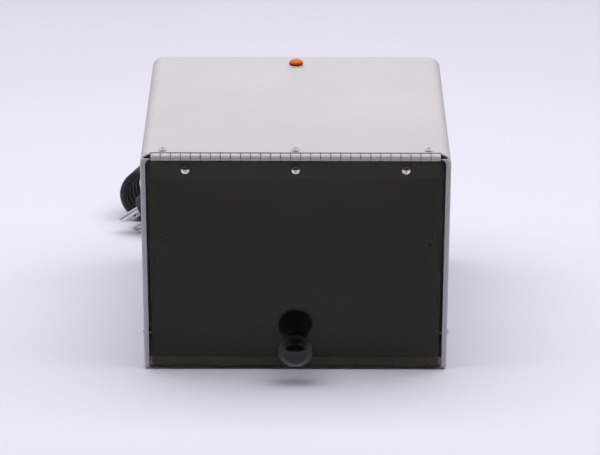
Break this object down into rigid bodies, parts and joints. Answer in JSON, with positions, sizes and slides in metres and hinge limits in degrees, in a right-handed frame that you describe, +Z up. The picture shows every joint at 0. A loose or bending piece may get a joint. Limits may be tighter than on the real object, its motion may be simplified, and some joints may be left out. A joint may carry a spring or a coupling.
{
  "type": "uv sterilizer cabinet",
  "caption": "Small sheet-metal tool sterilizer with a smoked drop door on a top hinge, a mushroom knob, a pilot lamp, an ultraviolet tube inside and a mains cord.",
  "frame": {"origin": "centre of the underside of the cabinet's bounding box, cord and plug left out, on the surface it stands on", "axes": "+Z up, the door faces -Y, +X to the right as seen from the door"},
  "size_m": [0.2693, 0.3361, 0.1832],
  "materials": {
    "paint": "warm light grey enamel, satin",
    "smoked_acrylic": "smoked clear acrylic, polished",
    "black_phenolic": "polished black phenolic",
    "nickel_plate": "bright nickel plate",
    "zinc_plate": "zinc plate",
    "aluminium": "bright aluminium",
    "amber_lens": "translucent amber",
    "quartz_glass": "clear quartz glass",
    "white_plastic": "moulded, satin",
    "black_plastic": "moulded, satin",
    "black_rubber": "matt",
    "varnished_steel": "varnished laminations"
  },
  "bodies": {
    "cabinet": {"back_panel": "paint", "back_screw_1": "nickel_plate", "back_screw_2": "nickel_plate", "back_screw_3": "nickel_plate", "back_screw_4": "nickel_plate", "ballast": "varnished_steel", "base_tray": "paint", "cord_hank": "black_rubber", "cord_lead": "black_rubber", "cord_tail": "black_rubber", "cord_tie": "black_plastic", "foot_left_front": "black_rubber", "foot_left_rear": "black_rubber", "foot_right_front": "black_rubber", "foot_right_rear": "black_rubber", "gear_cover": "paint", "hinge_leaf_shell": "paint", "hinge_pin": "zinc_plate", "lamp_cap_left": "aluminium", "lamp_cap_right": "aluminium", "lamp_holder_left": "white_plastic", "lamp_holder_right": "white_plastic", "lamp_tube": "quartz_glass", "pilot_body": "white_plastic", "pilot_lens": "amber_lens", "pilot_nut": "zinc_plate", "plug_blade_1": "nickel_plate", "plug_blade_2": "nickel_plate", "plug_body": "black_plastic", "plug_ground_pin": "nickel_plate", "reflector": "aluminium", "shell": "paint", "side_screw_left_front": "nickel_plate", "side_screw_left_rear": "nickel_plate", "side_screw_right_front": "nickel_plate", "side_screw_right_rear": "nickel_plate", "starter": "aluminium", "starter_socket": "white_plastic", "strain_relief": "black_rubber", "top_nut_1": "zinc_plate", "top_nut_2": "zinc_plate", "top_nut_3": "zinc_plate", "top_screw_1": "nickel_plate", "top_screw_2": "nickel_plate", "top_screw_3": "nickel_plate"},
    "door": {"door_nut_1": "zinc_plate", "door_nut_2": "zinc_plate", "door_nut_3": "zinc_plate", "door_panel": "smoked_acrylic", "door_screw_1": "nickel_plate", "door_screw_2": "nickel_plate", "door_screw_3": "nickel_plate", "hinge_leaf_door": "paint", "knob": "black_phenolic", "knob_screw": "nickel_plate"}
  },
  "joints": [
    {"name": "door_hinge", "type": "hinge", "parent": "cabinet", "child": "door", "pos_m": [0, -0.0858, 0.175], "axis": [-1, 0, 0], "range_deg": [0, 187]}
  ]
}
